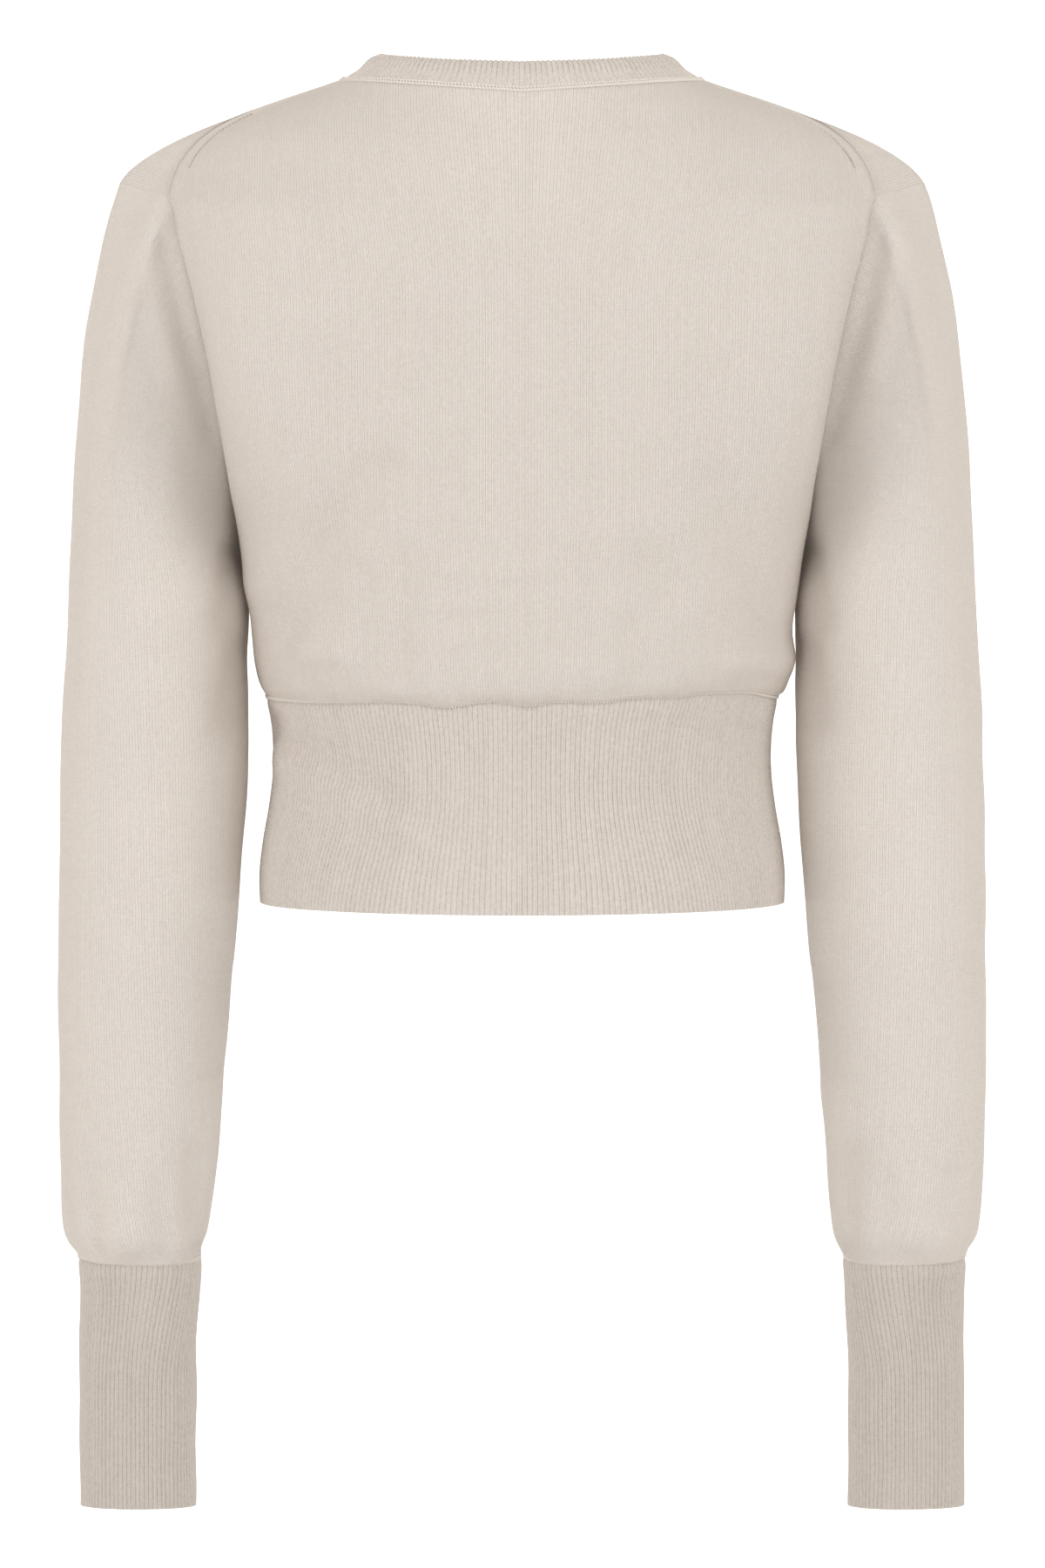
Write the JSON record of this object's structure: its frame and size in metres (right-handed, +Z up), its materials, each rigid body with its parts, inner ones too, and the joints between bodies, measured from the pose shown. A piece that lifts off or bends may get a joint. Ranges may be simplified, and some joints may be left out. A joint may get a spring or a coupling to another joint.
{
  "type": "cropped cardigan",
  "caption": "Fine-knit cropped cardigan in its worn form with no wearer: hollow body and long sleeves, ribbed neckband, hem and cuffs, buttoned front bands.",
  "frame": {"origin": "on the midline at shoulder height, where the wearer's shoulders, or a hanger, carry the garment", "axes": "+Z up along the garment's length, +X to the wearer's left, +Y to the back (the front opening faces -Y)"},
  "size_m": [0.45, 0.2163, 0.7049],
  "materials": {
    "body_knit": "matt fine plain knit, warm off-white",
    "rib_knit": "matt one by one rib knit, warm off-white",
    "button_shell": "smooth, softly glossy"
  },
  "bodies": {
    "root": {"back": "body_knit", "front_left": "body_knit", "front_right": "body_knit", "sleeve_left": "body_knit", "sleeve_right": "body_knit", "cuff_left": "rib_knit", "cuff_right": "rib_knit", "hem_back": "rib_knit", "hem_front_left": "rib_knit", "hem_front_right": "rib_knit", "neckband": "rib_knit", "band_under": "rib_knit", "band_over": "rib_knit", "button_1": "button_shell", "button_2": "button_shell", "button_3": "button_shell", "button_4": "button_shell", "button_5": "button_shell", "button_6": "button_shell", "button_7": "button_shell"}
  },
  "joints": []
}
